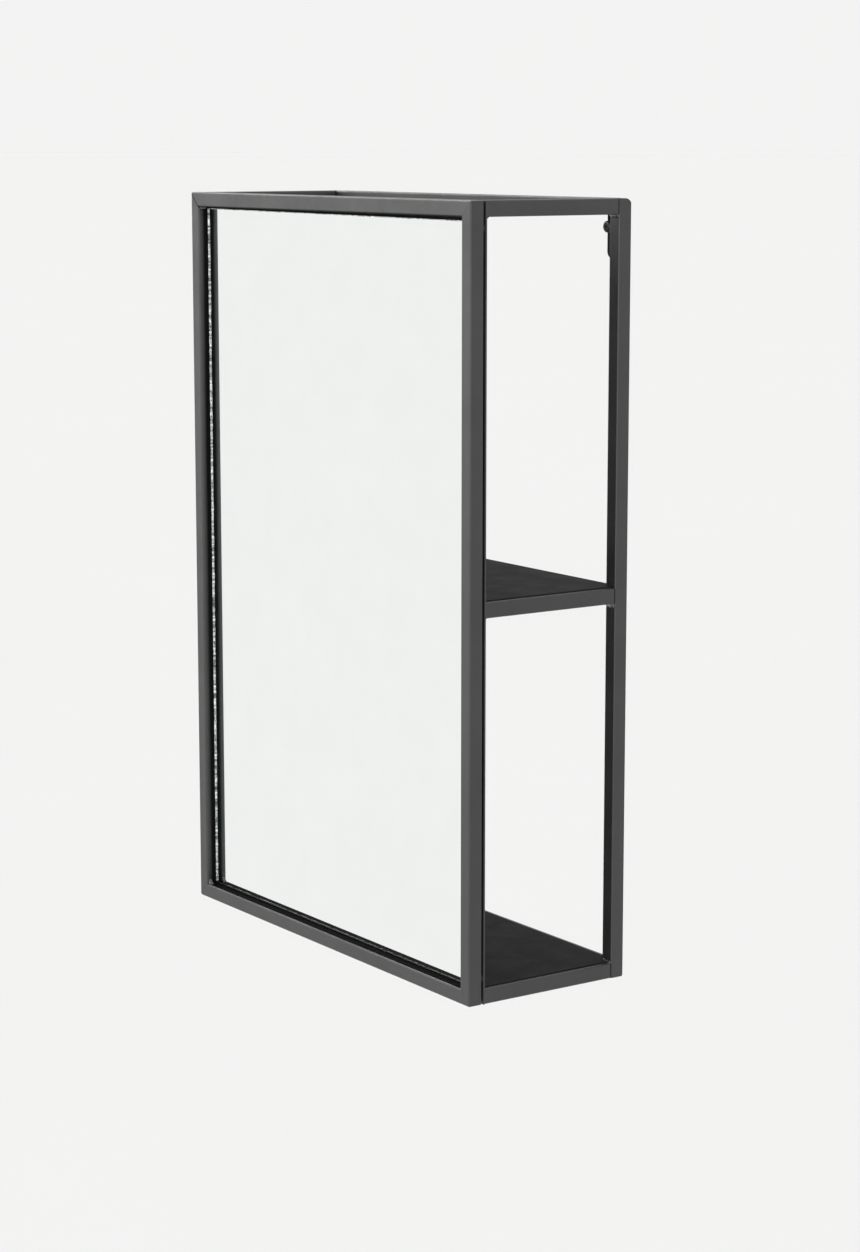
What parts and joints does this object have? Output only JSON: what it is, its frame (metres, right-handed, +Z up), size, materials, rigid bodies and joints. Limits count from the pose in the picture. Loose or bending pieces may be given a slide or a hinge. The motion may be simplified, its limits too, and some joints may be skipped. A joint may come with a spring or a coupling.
{
  "type": "mirrored wall cabinet",
  "caption": "Open-sided wall cabinet of black square steel tube with a middle shelf and a hinged door holding a recessed mirror.",
  "frame": {"origin": "in the wall plane, midway between the two wall screws", "axes": "+X right seen from the front, +Y into the wall, +Z up"},
  "size_m": [0.4041, 0.159, 0.6],
  "materials": {
    "black_steel": "satin black powder coat",
    "silvered_glass": "silvered float glass with an arrissed edge",
    "foam_tape": "matt",
    "black_screw": "blackened",
    "zinc_steel": "zinc plated",
    "hinge_pin_steel": "plain drawn",
    "rubber": "matt",
    "black_plastic": "moulded, matt",
    "magnet": "sintered ferrite, matt"
  },
  "bodies": {
    "cabinet": {"front_left_bar": "black_steel", "front_right_bar": "black_steel", "front_top_bar": "black_steel", "front_bottom_bar": "black_steel", "rear_left_post": "black_steel", "rear_right_post": "black_steel", "post_top_plugs": "black_steel", "post_foot_plugs": "black_steel", "rear_top_rail": "black_steel", "rear_bottom_rail": "black_steel", "left_top_rail": "black_steel", "left_middle_rail": "black_steel", "left_bottom_rail": "black_steel", "right_top_rail": "black_steel", "right_middle_rail": "black_steel", "right_bottom_rail": "black_steel", "middle_shelf": "black_steel", "bottom_shelf": "black_steel", "left_hanger_plate": "black_steel", "right_hanger_plate": "black_steel", "wall_screws": "black_screw", "upper_hinge_frame_leaf": "black_steel", "lower_hinge_frame_leaf": "black_steel", "upper_hinge_pin": "hinge_pin_steel", "lower_hinge_pin": "hinge_pin_steel", "door_bumpers": "rubber", "catch_housing": "black_plastic", "catch_magnet": "magnet", "catch_pole_plates": "zinc_steel", "catch_screws": "zinc_steel"},
    "door": {"door_left_stile": "black_steel", "door_right_stile": "black_steel", "door_top_rail": "black_steel", "door_bottom_rail": "black_steel", "mirror_glass": "silvered_glass", "mirror_tape_strips": "foam_tape", "door_back_panel": "black_steel", "upper_hinge_door_leaf": "black_steel", "lower_hinge_door_leaf": "black_steel"}
  },
  "joints": [
    {"name": "door_hinge", "type": "hinge", "parent": "cabinet", "child": "door", "pos_m": [-0.2022, -0.1348, -0.2785], "axis": [0, 0, -1], "range_deg": [0, 180]}
  ]
}
